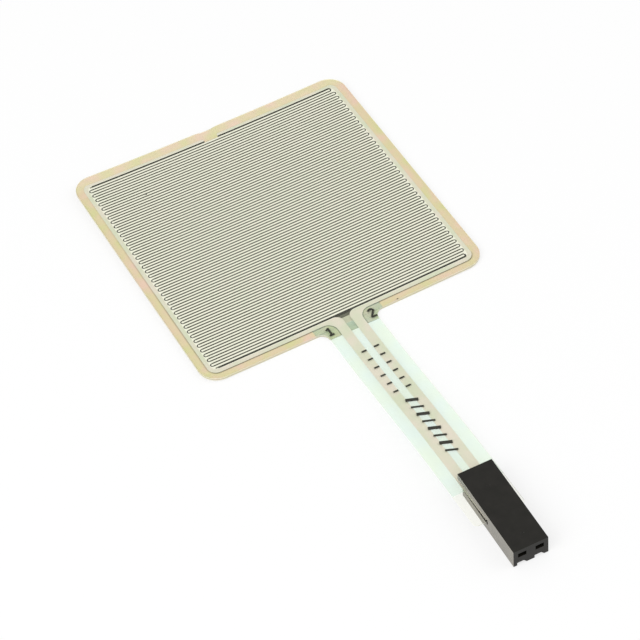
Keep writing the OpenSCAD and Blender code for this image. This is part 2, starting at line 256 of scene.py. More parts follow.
@dataclass(frozen=True)
class Finish:
    """A finish as the maker would name it.

    Attributes:
        name: Common name of the material and how its surface was made.
        colours: Main sRGB colour, and the one that its clouds mix in.
        roughness: Range of roughness over its clouds.
        clouds: Width of one cloud in millimetres, and octaves of finer clouds in it.
        spread: Share of the second colour at either end of the clouds' range.
        grain_mm: Size of the surface's relief.
        relief: Height of that relief in millimetres.
        metallic: Share of bare metal.
        ior: Index of refraction.
        field_colour: sRGB colour inside the comb's field, or None if it is the same there; the
            carbon's is painted shade.
        passed: sRGB colour of the light that one face lets through, or None if opaque.
        body: Share of the surface that isn't see-through.
    """

    name: str
    colours: tuple[str, str]
    roughness: tuple[float, float]
    clouds: tuple[float, float]
    spread: tuple[float, float] = (0.0, 1.0)
    grain_mm: float = 0.2
    relief: float = 0.002
    metallic: float = 0.0
    ior: float = 1.5
    field_colour: str | None = None
    passed: str | None = None
    body: float = 1.0

    def material(self) -> bpy.types.Material:
        """Build the node material of this finish.

        Returns:
            The material, opaque or partly see-through.
        """
        material, tree = empty_material(self.name)
        place = add_node(tree, "ShaderNodeTexCoord").outputs["Object"]
        fac = noise(tree, place, *self.clouds)
        share = ramp(tree, fac, NOISE_RANGE, self.spread)
        grain = noise(tree, place, self.grain_mm, GRAIN_DETAIL)
        bump = add_node(
            tree,
            "ShaderNodeBump",
            {"Strength": 1.0, "Distance": self.relief * MM, "Height": grain},
        )
        inputs = {
            "Base Color": self.placed(tree, place, blend(tree, share, *self.colours)),
            "Roughness": ramp(tree, fac, NOISE_RANGE, self.roughness),
            "Metallic": self.metallic,
            "IOR": self.ior,
            "Normal": bump.outputs["Normal"],
        }
        surface = add_node(tree, "ShaderNodeBsdfPrincipled", inputs).outputs["BSDF"]
        if self.passed is not None:
            clear = add_node(tree, "ShaderNodeBsdfTransparent", {"Color": linear(self.passed)})
            surface = mix_shaders(tree, self.body, clear.outputs["BSDF"], surface)
        add_node(tree, "ShaderNodeOutputMaterial", {"Surface": surface})
        return material

    def placed(self, tree: Tree, place: Socket, colour: Socket) -> Socket:
        """Change the colour by its place on the object.

        Args:
            tree: Node tree of the material.
            place: Object coordinates.
            colour: Colour of the clouds.

        Returns:
            The same colour, or the field's own inside the comb's field.
        """
        if self.field_colour is None:
            return colour
        distance, _, _ = outside(tree, place, FIELD_HALF, FIELD_R)
        share = ramp(tree, distance, (0.0, FIELD_EDGE), (FIELD_SHARE, 0.0))
        return blend(tree, share, colour, self.field_colour)


@dataclass(frozen=True)
class SpacerFinish(Finish):
    """Adhesive ring, with painted shade in the fine gap beside the silver and painted light along
    the back.

    Attributes:
        gap_shade_colour: sRGB colour of the painted shade in the gap round the silver.
        gap_half: Half the side of the silver print's window.
        gap_r: Radius of the window's corners.
        gap_w: Width of the painted shade.
        left_shade_share: Strength of the painted shade along the left side, as a share of the
            front's.
        left_shade_fade: Stretch in Y over which the left side's painted shade fades out.
        lead: Middle (x, y) and radius of the round where a lead leaves the front strip.
        back_light_colour: sRGB colour of the painted light along the back stretch.
        back_light_share: Strength of that painted light at the back edge.
    """

    gap_shade_colour: str = "#4f472f"
    gap_half: float = 20.685
    gap_r: float = 1.44
    gap_w: float = 0.22
    left_shade_share: float = 0.5
    left_shade_fade: tuple[float, float] = (-8.0, 19.0)
    lead: tuple[float, float, float] = (3.545, -22.195, 1.55)
    back_light_colour: str = "#ece4d2"
    back_light_share: float = 0.2

    def placed(self, tree: Tree, place: Socket, colour: Socket) -> Socket:
        """Mix in the painted shade in the gap and the painted light along the back stretch.

        The gap follows the window, and beside each lead the round of the lead: there its
        distance is r - length(max(x0 - |x|, 0), max(y - y0, 0)).

        Args:
            tree: Node tree of the material.
            place: Object coordinates.
            colour: Colour of the adhesive's clouds.

        Returns:
            The colour with both mixed in.
        """
        # Painted shade in the gap round the silver: full on the front, part on the left, none on
        # the right and back.
        distance, x, y = outside(tree, place, self.gap_half, self.gap_r)
        inner = self.gap_half - self.gap_r
        left = ramp(tree, x, (-self.gap_half, -inner), (self.left_shade_share, 0.0))
        left = calc(tree, "MULTIPLY", left, ramp(tree, y, self.left_shade_fade, (1.0, 0.0)))
        front = ramp(tree, y, (-self.gap_half, -inner), (1.0, 0.0))
        window = ramp(tree, distance, (0.0, self.gap_w), (1.0, 0.0))
        window = calc(tree, "MULTIPLY", window, calc(tree, "MAXIMUM", left, front))
        lead_x, lead_y, lead_r = self.lead
        # Painted shade along the round of each lead at the tail's root.
        in_x = calc(tree, "SUBTRACT", lead_x, calc(tree, "ABSOLUTE", x))
        in_y = calc(tree, "SUBTRACT", y, lead_y)
        arm = length(tree, calc(tree, "MAXIMUM", in_x), calc(tree, "MAXIMUM", in_y))
        round_shade = ramp(tree, arm, (lead_r - self.gap_w, lead_r), (0.0, 1.0))
        beside = calc(tree, "GREATER_THAN", in_x)
        at_root = calc(tree, "MULTIPLY", beside, calc(tree, "LESS_THAN", y, -inner))
        gap = calc(tree, "MAXIMUM", window, calc(tree, "MULTIPLY", round_shade, at_root))
        # Painted light along the back stretch of the ring.
        back = ramp(tree, y, (inner, self.gap_half), (0.0, self.back_light_share))
        return blend(tree, gap, blend(tree, back, colour, self.back_light_colour), self.gap_shade_colour)


@dataclass(frozen=True)
class CombFinish(Finish):
    """Silver ink with painted shade along the edges of its narrow fingers, beside the gap lines.

    Attributes:
        pitch: Distance from one gap line to the next.
        first_y: Place in Y of the first gap line.
        edge: Start and end of the painted shade, from the gap's middle.
        edge_shade_colour: sRGB colour of the painted shade.
        finger_x: Half the width over which the fingers run.
    """

    pitch: float = 0.5
    first_y: float = 19.75
    edge: tuple[float, float] = (0.09, 0.13)
    edge_shade_colour: str = "#6d6e5e"
    finger_x: float = 19.6

    def placed(self, tree: Tree, place: Socket, colour: Socket) -> Socket:
        """Paint shade on the fingers' edges, at a distance |y - y0| from the nearest gap line.

        Args:
            tree: Node tree of the material.
            place: Object coordinates.
            colour: Colour of the clouds.

        Returns:
            The colour with its field and the painted shade.
        """
        inked = super().placed(tree, place, colour)
        _, x, y = outside(tree, place, FIELD_HALF, FIELD_R)
        near = calc(tree, "PINGPONG", calc(tree, "SUBTRACT", y, self.first_y), self.pitch / 2)
        in_x = calc(tree, "LESS_THAN", calc(tree, "ABSOLUTE", x), self.finger_x)
        end_y = self.first_y + self.pitch / 4
        in_y = calc(tree, "LESS_THAN", calc(tree, "ABSOLUTE", y), end_y)
        on_finger = calc(tree, "MULTIPLY", in_x, in_y)
        # Painted shade beside each gap line between the fingers.
        fringe = calc(tree, "MULTIPLY", ramp(tree, near, self.edge, (1.0, 0.0)), on_finger)
        return blend(tree, fringe, inked, self.edge_shade_colour)


# Screen-printed silver ink seen through clear film: satin, pale grey with a green cast,
# faintly cloudy where the ink lies thicker, brighter in the narrow fingers, and with painted
# shade along the fingers' edges.
SILVER_INK = CombFinish(
    "screen_printed_silver_ink",
    colours=("#cdd2bf", "#dad3ca"),
    roughness=(0.42, 0.52),
    clouds=(3.0, 2.0),
    spread=(-0.2, 1.2),
    grain_mm=0.12,
    relief=0.0015,
    field_colour="#eeeee6",
)
# Carbon-filled resistive ink: a dull olive that shows in the gaps of the silver, olive grey at
# the root; inside the comb's field it is painted near black, as painted shade in those gaps.
CARBON_INK = Finish(
    "screen_printed_carbon_ink",
    colours=("#5a5b4f", "#626357"),
    roughness=(0.55, 0.7),
    clouds=(4.0, 2.0),
    grain_mm=0.1,
    ior=1.3,
    # Painted shade: the carbon between the silver fingers is painted near black.
    field_colour="#0b0b03",
)
# Die-cut transfer adhesive: warm tan with pinkish and greenish clouds under the film.
SPACER_ADHESIVE = SpacerFinish(
    "die_cut_tan_adhesive",
    colours=("#dfc2b4", "#cecb9a"),
    roughness=(0.5, 0.65),
    clouds=(2.6, 1.5),
    grain_mm=0.3,
)
# Cast polyester rear film over its adhesive, milky, with a soft gloss.
REAR_POLYESTER = Finish(
    "cast_milky_polyester_film",
    colours=("#bcbfab", "#b6b9a4"),
    roughness=(0.25, 0.35),
    clouds=(8.0, 2.0),
    ior=1.57,
)
# Cast clear polyester front film: nearly unseen but for its gloss.
FRONT_POLYESTER = Finish(
    "cast_clear_polyester_film",
    colours=("#f8f8f0", "#f2f4ea"),
    roughness=(0.12, 0.2),
    clouds=(10.0, 2.0),
    grain_mm=3.0,
    ior=1.57,
    passed="#fffffc",
    body=0.02,
)
# The same film where a die has cut it: the edge scatters light and looks whitish.
CUT_POLYESTER = Finish(
    "die_cut_polyester_edge",
    colours=("#fdfbee", "#f4f3e6"),
    roughness=(0.3, 0.45),
    clouds=(1.5, 2.0),
    ior=1.57,
    passed="#f8f9f0",
    body=0.6,
)
# Ultraviolet-cured cover coat: a clear lacquer with a mint tint over the tail's margins.
COVER_COAT = Finish(
    "screen_printed_mint_lacquer",
    colours=("#dcfbff", "#e9ffd9"),
    roughness=(0.3, 0.4),
    clouds=(3.5, 1.0),
    passed="#fbfffe",
    body=0.11,
)
# Siliconised kraft liner below the pad: cream paper with a faint fibre.
LINER_PAPER = Finish(
    "siliconised_cream_paper",
    colours=("#e9e2cf", "#e2d9c2"),
    roughness=(0.45, 0.6),
    clouds=(0.8, 4.0),
    grain_mm=0.15,
    relief=0.006,
)
# Acrylic transfer adhesive below the rear film, pale and slightly yellow.
MOUNTING_ADHESIVE = Finish(
    "coated_acrylic_adhesive",
    colours=("#efe6cb", "#eadfbd"),
    roughness=(0.35, 0.5),
    clouds=(3.0, 2.0),
)
# Glass-filled moulded polyester: black, with the satin of a polished mould.
MOULDED_BLACK = Finish(
    "moulded_black_glass_filled_polyester",
    colours=("#161510", "#1e1c18"),
    roughness=(0.14, 0.22),
    clouds=(1.6, 4.0),
    grain_mm=0.12,
    relief=0.0015,
    ior=1.3,
)
# The same plastic on the two outer side walls, painted a lighter grey: a painted reflection of
# the pale floor, which they catch at a flat angle, with a satin gloss.
MOULDED_SIDE_PAINTED_REFLECTION = Finish(
    "black_polyester_side_painted_reflection",
    colours=("#78756c", "#858177"),
    roughness=(0.2, 0.3),
    clouds=(2.4, 3.0),
    grain_mm=0.12,
    relief=0.0015,
    ior=1.33,
)
# Stamped phosphor bronze with a thin bright plating: a warm pale metal.
PLATED_BRONZE = Finish(
    "stamped_plated_bronze",
    colours=("#cbb98c", "#bfa878"),
    roughness=(0.22, 0.35),
    clouds=(0.6, 3.0),
    metallic=1.0,
    grain_mm=0.08,
    relief=0.001,
)
# Black marking ink printed on the film, matt, with an olive cast where it lies thin.
MARKING_INK = Finish(
    "printed_black_marking_ink",
    colours=("#141509", "#22220f"),
    roughness=(0.5, 0.65),
    clouds=(0.4, 2.0),
)


def link_object(name: str, data: bpy.types.ID) -> bpy.types.Object:
    """Make an object at the origin and link it to the scene.

    Args:
        name: Name of the object.
        data: Its mesh, lamp or camera.

    Returns:
        The new object.
    """
    made = bpy.data.objects.new(name, data)
    bpy.context.scene.collection.objects.link(made)
    return made


def mesh_piece(
    name: str,
    points: np.ndarray,
    faces: list[Any],
    materials: list[bpy.types.Material],
    first_faces: int | None = None,
) -> bpy.types.Object:
    """Make a flat-shaded mesh object at the origin and let it ride on the one body.

    Args:
        name: Piece name.
        points: Vertex places in millimetres, one row each.
        faces: Vertex numbers of each face, counter-clockwise from outside.
        materials: Material of the first faces, and of the rest.
        first_faces: Number of faces with the first material; None gives it to all.

    Returns:
        The new object.
    """
    mesh = bpy.data.meshes.new(name)
    mesh.from_pydata((points * MM).tolist(), [], faces)
    for material in materials:
        mesh.materials.append(material)
    if first_faces is not None:
        index = (np.arange(len(mesh.polygons)) >= first_faces).astype(np.int32)
        mesh.polygons.foreach_set("material_index", index)
    mesh.validate()
    piece = link_object(name, mesh)
    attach(piece, "root")
    LOG.info("%s: %d vertices, %d faces", name, len(mesh.vertices), len(mesh.polygons))
    return piece


def shell_faces(rows: int, columns: int) -> list[list[int]]:
    """Faces of a closed shell made of an upper and a lower grid of points.

    Point (i, j) of the upper grid is number i * columns + j, and the lower grid follows
    in the same order. Rows run towards +Y and columns towards +X.

    Args:
        rows: Points along the first parameter.
        columns: Points along the second parameter.

    Returns:
        Quads that face outwards, four numbers each.
    """
    number = np.arange(rows * columns).reshape(rows, columns)
    low = number + rows * columns
    a, b = number[:-1, :-1].ravel(), number[:-1, 1:].ravel()
    c, d = number[1:, 1:].ravel(), number[1:, :-1].ravel()
    top = np.stack([a, b, c, d], 1)
    under = np.stack([a, d, c, b], 1) + rows * columns
    rims = []
    for edge in (np.s_[0, :], np.s_[:, -1], np.s_[-1, ::-1], np.s_[::-1, 0]):
        line, other = number[edge], low[edge]
        rims.append(np.stack([line[1:], line[:-1], other[:-1], other[1:]], 1))
    return np.concatenate([top, under, *rims]).tolist()


def tube_faces(stations: int, points: int) -> list[list[int]]:
    """Faces of a closed profile carried along a path, with both ends shut.

    Point p of station s is number s * points + p.

    Args:
        stations: Number of stations.
        points: Points of the profile.

    Returns:
        Quads round the sides, and one face at each end.
    """
    number = np.arange(stations * points).reshape(stations, points)
    turned = np.roll(number, -1, axis=1)
    sides = np.stack([number[:-1], turned[:-1], turned[1:], number[1:]], 2).reshape(-1, 4)
    return [*sides.tolist(), number[0, ::-1].tolist(), number[-1].tolist()]


def face_outwards(mesh: bpy.types.Mesh) -> None:
    """Turn all faces of closed shells outwards.

    Args:
        mesh: Mesh with those shells.
    """
    shape = bmesh.new()
    shape.from_mesh(mesh)
    bmesh.ops.recalc_face_normals(shape, faces=shape.faces)
    shape.to_mesh(mesh)
    shape.free()


@dataclass(frozen=True)
class Curl:
    """Slight curl of the pad, as a laminate of thin films takes it.

    The pad touches the surface along a line that starts at the tail and drifts to the
    right towards the back, and it rises from that line on both sides.

    Attributes:
        half: Half the pad's side.
        front: Lift at the front corners.
        back: Lift at half the pad's side from the line, along the back.
        drift: Share of half the side by which the line drifts.
        fade: Length along the tail's root over which the lift fades out.
    """

    half: float = 21.845
    front: float = 0.231
    back: float = 0.403
    drift: float = 0.332
    fade: float = 1.35

    def lift(self, x: np.ndarray, y: np.ndarray) -> np.ndarray:
        """Lift of the pad, which fades out along the tail's root.

        Args:
            x: Places across in millimetres.
            y: Places along.

        Returns:
            Heights (f + (b - f) v^2) (u - d v)^2, with u = x / half and v from 0 to 1
            along Y.
        """
        u = x / self.half
        v = np.clip((y + self.half) / (2 * self.half), 0, 1)
        steep = self.front + (self.back - self.front) * v**2
        return steep * (u - self.drift * v) ** 2 * np.clip(1 + (y + self.half) / self.fade, 0, 1)


@dataclass(frozen=True)
class TailLine:
    """Course of the films from the pad along the tail.

    The tail rises by half a cosine wave and runs level into the connector, as in the
    frame's nodes, and the pad has its curl.

    Attributes:
        curl: Curl of the pad.
        level_pad: Height of the front film's underside on the pad.
        level_end: Height of its underside in the connector.
        rise_from: Place in Y where it starts to rise.
        rise_to: Place in Y where it is level again.
    """

    curl: Curl = Curl()
    level_pad: float = 0.33
    level_end: float = 1.6
    rise_from: float = -24.245
    rise_to: float = -52.295

    def height(self, y: np.ndarray) -> np.ndarray:
        """Height z = a + (b - a) (1 - cos(pi t)) / 2, with t the share of the rise at y."""
        t = np.clip((self.rise_from - y) / (self.rise_from - self.rise_to), 0, 1)
        return self.level_pad + (self.level_end - self.level_pad) * (1 - np.cos(np.pi * t)) / 2

    def lay(self, flat: np.ndarray, above: float) -> np.ndarray:
        """Lay flat points on the film's course, at a distance above its underside.

        Args:
            flat: Points (x, y), one row each.
            above: Distance from the underside, at right angles to the film.

        Returns:
            Points (x, y, z): the course at y, moved by the distance along its normal
            (0, -z', 1) / sqrt(1 + z'^2), and raised by the curl.
        """
        x, y = flat[:, 0], flat[:, 1]
        step = 0.01
        slope = (self.height(y + step) - self.height(y - step)) / (2 * step)
        norm = np.sqrt(1 + slope**2)
        height = self.height(y) + above / norm + self.curl.lift(x, y)
        return np.stack([x, y - above * slope / norm, height], 1)


@dataclass
class FrontFilm:
    """Clear film over the pad, in one piece with the tail.

    Attributes:
        course: Course of the films.
        corner_r: Radius of the pad's corners.
        half_tail: Half the tail's width.
        fillet_r: Radius of the fillets at the tail's root.
        end_y: Place of the film's end.
        end_r: Radius of its corners.
        notch_half: Half width of the notch in the back edge.
        notch_depth: Depth of that notch.
        thickness: Thickness of the film.
        lift: Clearance above the prints, so that no two faces lie in one plane.
        step: Length over which the outline steps from the tail's root to the pad's edge.
    """

    course: TailLine
    corner_r: float = 2.8
    half_tail: float = 3.81
    fillet_r: float = 1.35
    end_y: float = -61.945
    end_r: float = 0.7
    notch_half: float = 1.0
    notch_depth: float = 0.18
    thickness: float = 0.125
    lift: float = 0.004
    step: float = 0.002

    def half_width(self, y: np.ndarray) -> np.ndarray:
        """Half width of the film at each y.

        Args:
            y: Places along the film.

        Returns:
            Half widths: straight sides, and circle arcs w = c + sqrt(r^2 - d^2) at the
            pad's corners and the film's end, or c - sqrt(r^2 - d^2) at the fillets.
        """
        pad, r = self.course.curl.half, self.corner_r
        d = np.clip(np.abs(y) - (pad - r), 0, r)
        on_pad = pad - r + np.sqrt(r * r - d * d)
        f = self.fillet_r
        d = np.clip(y - (-pad - f), 0, f)
        on_tail = self.half_tail + f - np.sqrt(f * f - d * d)
        e = self.end_r
        d = np.clip(self.end_y + e - y, 0, e)
        on_tail = np.where(d > 0, self.half_tail - e + np.sqrt(e * e - d * d), on_tail)
        return np.where(y > -pad, on_pad, on_tail)

    def stations(self) -> np.ndarray:
        """Choose stations along Y, close together at the corners and arcs.

        Returns:
            Places in rising order, from the film's end to the pad's back edge.
        """
        pad, r, f, e = self.course.curl.half, self.corner_r, self.fillet_r, self.end_r
        turn_count, tail_count, pad_count = 13, 97, 33
        turn = np.linspace(0, np.pi / 2, turn_count)
        places = [
            self.end_y + e * (1 - np.cos(turn)),
            np.linspace(self.end_y + e, -pad - f, tail_count),
            -pad - f + f * np.sin(turn),
            -pad + self.step + (r - self.step) * (1 - np.cos(turn)),
            np.linspace(-pad + r, pad - r, pad_count),
            pad - r + r * np.sin(turn),
        ]
        return np.unique(np.round(np.concatenate(places), 5))

    def build(self) -> None:
        """Build the film as a shell over (share across, place along) and dress it."""
        y = self.stations()
        columns, notch_fade, notch_side = 61, 1.5, 0.6
        share = np.linspace(-1, 1, columns)
        across = self.half_width(y)[:, None] * share[None, :]
        along = np.repeat(y[:, None], columns, 1)
        near = np.clip((along - (self.course.curl.half - notch_fade)) / notch_fade, 0, 1)
        inside = 1 + notch_side - np.abs(across) / self.notch_half
        dip = np.clip(inside, 0, notch_side) / notch_side
        along = along - self.notch_depth * near * dip
        flat = np.stack([across.ravel(), along.ravel()], 1)
        film = mesh_piece(
            "front_film_sheet",
            np.concatenate([self.course.lay(flat, h) for h in (self.thickness, self.lift)]),
            shell_faces(len(y), columns),
            [FRONT_POLYESTER.material(), CUT_POLYESTER.material()],
            first_faces=2 * (len(y) - 1) * (columns - 1),
        )
        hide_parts(Layer.FRONT_FILM.value)


@dataclass
class CoverCoat:
    """Tinted lacquer on the tail's underside, below the leads and level with them beside.

    Attributes:
        course: Course of the films.
        film: Front film, whose outline it follows.
        lead_in: Distance of a lead's inner edge from the tail's middle.
        lead_out: Distance of its outer edge.
        root_r: Radius of the lead's outer side where it leaves the front strip.
        root_y: Place where that round begins.
        root_half: Half width of the coat beside the tail's root.
        top_y: End of the coat at the silver.
        open_y: End of the silver-free stretch between the leads.
        open_half: Half width of that stretch.
        end_y: End of the coat in the connector.
        under: Depth of its underside below the film.
        lead_under: Depth of its thin stretch below the leads.
        play: Clearance to the film and the leads, so that no two faces lie in one plane.
    """

    course: TailLine
    film: FrontFilm
    lead_in: float = 0.545
    lead_out: float = 1.995
    root_r: float = 1.55
    root_y: float = -22.195
    root_half: float = 5.2
    top_y: float = -20.685
    open_y: float = -21.785
    open_half: float = 0.745
    end_y: float = -56.145
    under: float = 0.046
    lead_under: float = 0.024
    play: float = 0.004

    def outer(self, y: np.ndarray) -> np.ndarray:
        """Outer edge: the film's own, and a straight edge where the coat lies on the pad."""
        return np.minimum(self.film.half_width(y) - self.play, self.root_half)

    def lead_edge(self, y: np.ndarray) -> np.ndarray:
        """Outer edge of a lead: w = w0 + r - sqrt(r^2 - d^2), with d the way past root_y."""
        d = np.clip(y - self.root_y, 0, self.root_r)
        return self.lead_out + self.root_r - np.sqrt(self.root_r**2 - d**2) + self.play

    def sweep(self, across: np.ndarray, depth: np.ndarray, y: np.ndarray) -> np.ndarray:
        """Carry a closed profile along Y.

        Args:
            across: X of each profile point at each station, shaped (stations, points).
            depth: Depth of each profile point below the film.
            y: Stations along Y.

        Returns:
            Points on the films' course, shaped (stations * points, 3).
        """
        rows = [self.course.lay(np.stack([x, y], 1), -d) for x, d in zip(across.T, depth)]
        return np.stack(rows, 1).reshape(-1, 3)

    def build(self) -> None:
        """Build the coat: the tail's stretch in one, and its two ends at the root."""
        low, mid, high = self.under, self.lead_under, self.play
        tail_count, fillet_count, root_count = 73, 9, 13
        y = np.linspace(self.end_y, self.open_y - self.play, tail_count)
        fillet = -self.course.curl.half - self.film.fillet_r * np.linspace(0, 1, fillet_count)
        y = np.unique(np.round(np.append(y, fillet), 4))
        out, edge = self.outer(y), self.lead_edge(y)
        inner = np.full_like(y, self.lead_in - self.play)
        half = [(out, low), (out, high), (edge, high), (edge, mid), (inner, mid), (inner, high)]
        across = np.stack([-w for w, _ in half] + [w for w, _ in half[::-1]], 1)
        depth = np.array([d for _, d in half] + [d for _, d in half[::-1]])
        parts = [(across, depth, y)]
        y = np.linspace(self.open_y, self.top_y, root_count)
        out, edge = self.outer(y), self.lead_edge(y)
        inner = np.full_like(y, self.open_half)
        half = [(inner, low), (out, low), (out, high), (edge, high), (edge, mid), (inner, mid)]
        across = np.stack([w for w, _ in half], 1)
        depth = np.array([d for _, d in half])
        parts += [(across, depth, y), (-across[:, ::-1], depth[::-1], y)]
        points, faces, start = [], [], 0
        for across, depth, y in parts:
            points.append(self.sweep(across, depth, y))
            faces += [[start + n for n in face] for face in tube_faces(*across.shape)]
            start += across.size
        lacquer = [COVER_COAT.material()]
        coat = mesh_piece("cover_coat", np.concatenate(points), faces, lacquer)
        face_outwards(coat.data)
        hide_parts(Layer.COAT.value)


@dataclass
class Marks:
    """Plain black marks printed on the tail: a digit at each lead, and generic strokes.

    Attributes:
        course: Course of the films.
        film_t: Thickness of the film that carries them.
        ink_t: Thickness of the ink.
        outlines: Four corners of each stroke so far.
    """

    course: TailLine
    film_t: float = 0.125
    ink_t: float = 0.012
    outlines: list[np.ndarray] = field(default_factory=list)

    def stroke(self, x0: float, y0: float, x1: float, y1: float, width: float) -> None:
        """Add a straight stroke between two points, as a quad of that width.

        Args:
            x0: X of its first end.
            y0: Y of its first end.
            x1: X of its second end.
            y1: Y of its second end.
            width: Width of the stroke.
        """
        ends = np.array([[x0, y0], [x1, y1]])
        along = (ends[1] - ends[0]) / np.linalg.norm(ends[1] - ends[0])
        side = np.array([-along[1], along[0]]) * width / 2
        quad = [ends[0] - side, ends[1] - side, ends[1] + side, ends[0] + side]
        self.outlines.append(np.array(quad))

    def digits(
        self, one: tuple[float, float], two: tuple[float, float], height: float, width: float
    ) -> None:
        """Add a plain figure one and a plain figure two, with their feet along the tail.

        Each end of a stroke lies at a fixed share of the height from the figure's middle.

        Args:
            one: Middle of the figure one.
            two: Middle of the figure two.
            height: Height of both.
            width: Width of their strokes.
        """
        h, w = height / 2, height * 0.28
        x, y = one
        self.stroke(x, y - h, x, y + h, width)
        self.stroke(x, y + h - width / 2, x - w, y + h * 0.5, width * 0.9)
        self.stroke(x - height * 0.26, y - h, x + height * 0.26, y - h, width)
        x, y = two
        self.stroke(x - w, y + h * 0.62, x - w * 0.5, y + h, width)
        self.stroke(x - w * 0.6, y + h, x + w * 0.6, y + h, width)
        self.stroke(x + w * 0.5, y + h, x + w, y + h * 0.5, width)
        self.stroke(x + w, y + h * 0.55, x - w, y - h, width)
        self.stroke(x - w * 1.05, y - h, x + w * 1.1, y - h, width)

    def build(self) -> None:
        """Raise every stroke to a closed thin slab on the film and dress them as one piece."""
        quads = np.concatenate([self.split(q) for q in self.outlines])
        count = len(quads)
        flat = quads.reshape(-1, 2)
        top = self.course.lay(flat, self.film_t + self.ink_t)
        under = self.course.lay(flat, self.film_t - self.ink_t)
        ring = np.arange(4 * count).reshape(count, 4)
        low = ring + 4 * count
        faces = [ring, low[:, ::-1]]
        for k in range(4):
            n = (k + 1) % 4
            faces.append(np.stack([ring[:, n], ring[:, k], low[:, k], low[:, n]], 1))
        points, sides = np.concatenate([top, under]), np.concatenate(faces).tolist()
        mesh_piece("printed_marks", points, sides, [MARKING_INK.material()])

    def split(self, quad: np.ndarray) -> np.ndarray:
        """Cut a stroke into short quads, so that it follows the bent film.

        Args:
            quad: Its four corners.

        Returns:
            Quads of at most 1 mm length, shaped (count, 4, 2).
        """
        count = max(1, int(np.ceil(np.linalg.norm(quad[1] - quad[0]))))
        t = np.linspace(0, 1, count + 1)[:, None]
        right = quad[0] + (quad[1] - quad[0]) * t
        left = quad[3] + (quad[2] - quad[3]) * t
        return np.stack([right[:-1], right[1:], left[1:], left[:-1]], 1)


@dataclass
class Housing:
    """Connector housing with the soft edges of a moulding.

    Attributes:
        edge_r: Radius given to its edges.
        facing: Least share across of a side wall's normal.
        depth: Depth below the widest wall that still counts as the outer side.
        least: Least area of a wall's face in square millimetres.
        flat_deg: Angle up to which two neighbouring faces are one.
        sharp_deg: Least angle of an edge that is rounded.
    """

    edge_r: float = 0.03
    facing: float = 0.9
    depth: float = 0.3
    least: float = 0.02
    flat_deg: float = 1.0
    sharp_deg: float = 35.0

    def mark_painted_reflection_sides(self, mesh: bpy.types.Mesh) -> None:
        """Give the second material, with its painted reflection, to the faces of the two outer side
        walls.

        Args:
            mesh: Housing's mesh, with both materials.
        """
        count = len(mesh.polygons)
        normals, centres, areas = np.empty((count, 3)), np.empty((count, 3)), np.empty(count)
        for name, values in (("normal", normals), ("center", centres), ("area", areas)):
            mesh.polygons.foreach_get(name, values.ravel())
        reach = np.sum(normals * centres, 1)
        chosen = np.zeros(count, bool)
        for sign in (-1, 1):
            faces = (normals[:, 0] * sign > self.facing) & (areas > self.least * MM**2)
            chosen |= faces & (reach > reach[faces].max() - self.depth * MM)
        mesh.polygons.foreach_set("material_index", chosen.astype(np.int32))

    def build(self, frame: dict[str, Any]) -> None:
        """Copy the frame's housing, merge it and round its edges.
        """
        node = frame["nodes"][Layer.HOUSING.value]
        mesh = node.data.copy()
        mesh.materials.clear()
        # The second material paints a reflection on the outer side walls.
        for finish in (MOULDED_BLACK, MOULDED_SIDE_PAINTED_REFLECTION):
            mesh.materials.append(finish.material())
        shape = bmesh.new()
        shape.from_mesh(mesh)
        bmesh.ops.remove_doubles(shape, verts=shape.verts, dist=MERGE * MM)
        angle = math.radians(self.flat_deg)
        bmesh.ops.dissolve_limit(shape, angle_limit=angle, verts=shape.verts, edges=shape.edges)
        shape.to_mesh(mesh)
        shape.free()
        self.mark_painted_reflection_sides(mesh)
        mesh.name = "housing_moulding"
        piece = link_object("housing_moulding", mesh)
        bevel = piece.modifiers.new("soft_edges", "BEVEL")
        bevel.width = self.edge_r * MM
        bevel.segments = 2
        bevel.limit_method = "ANGLE"
        bevel.angle_limit = math.radians(self.sharp_deg)
        bevel.harden_normals = True
        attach(piece, "root")
        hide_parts(Layer.HOUSING.value)
        LOG.info("housing_moulding: %d faces before its bevel", len(mesh.polygons))


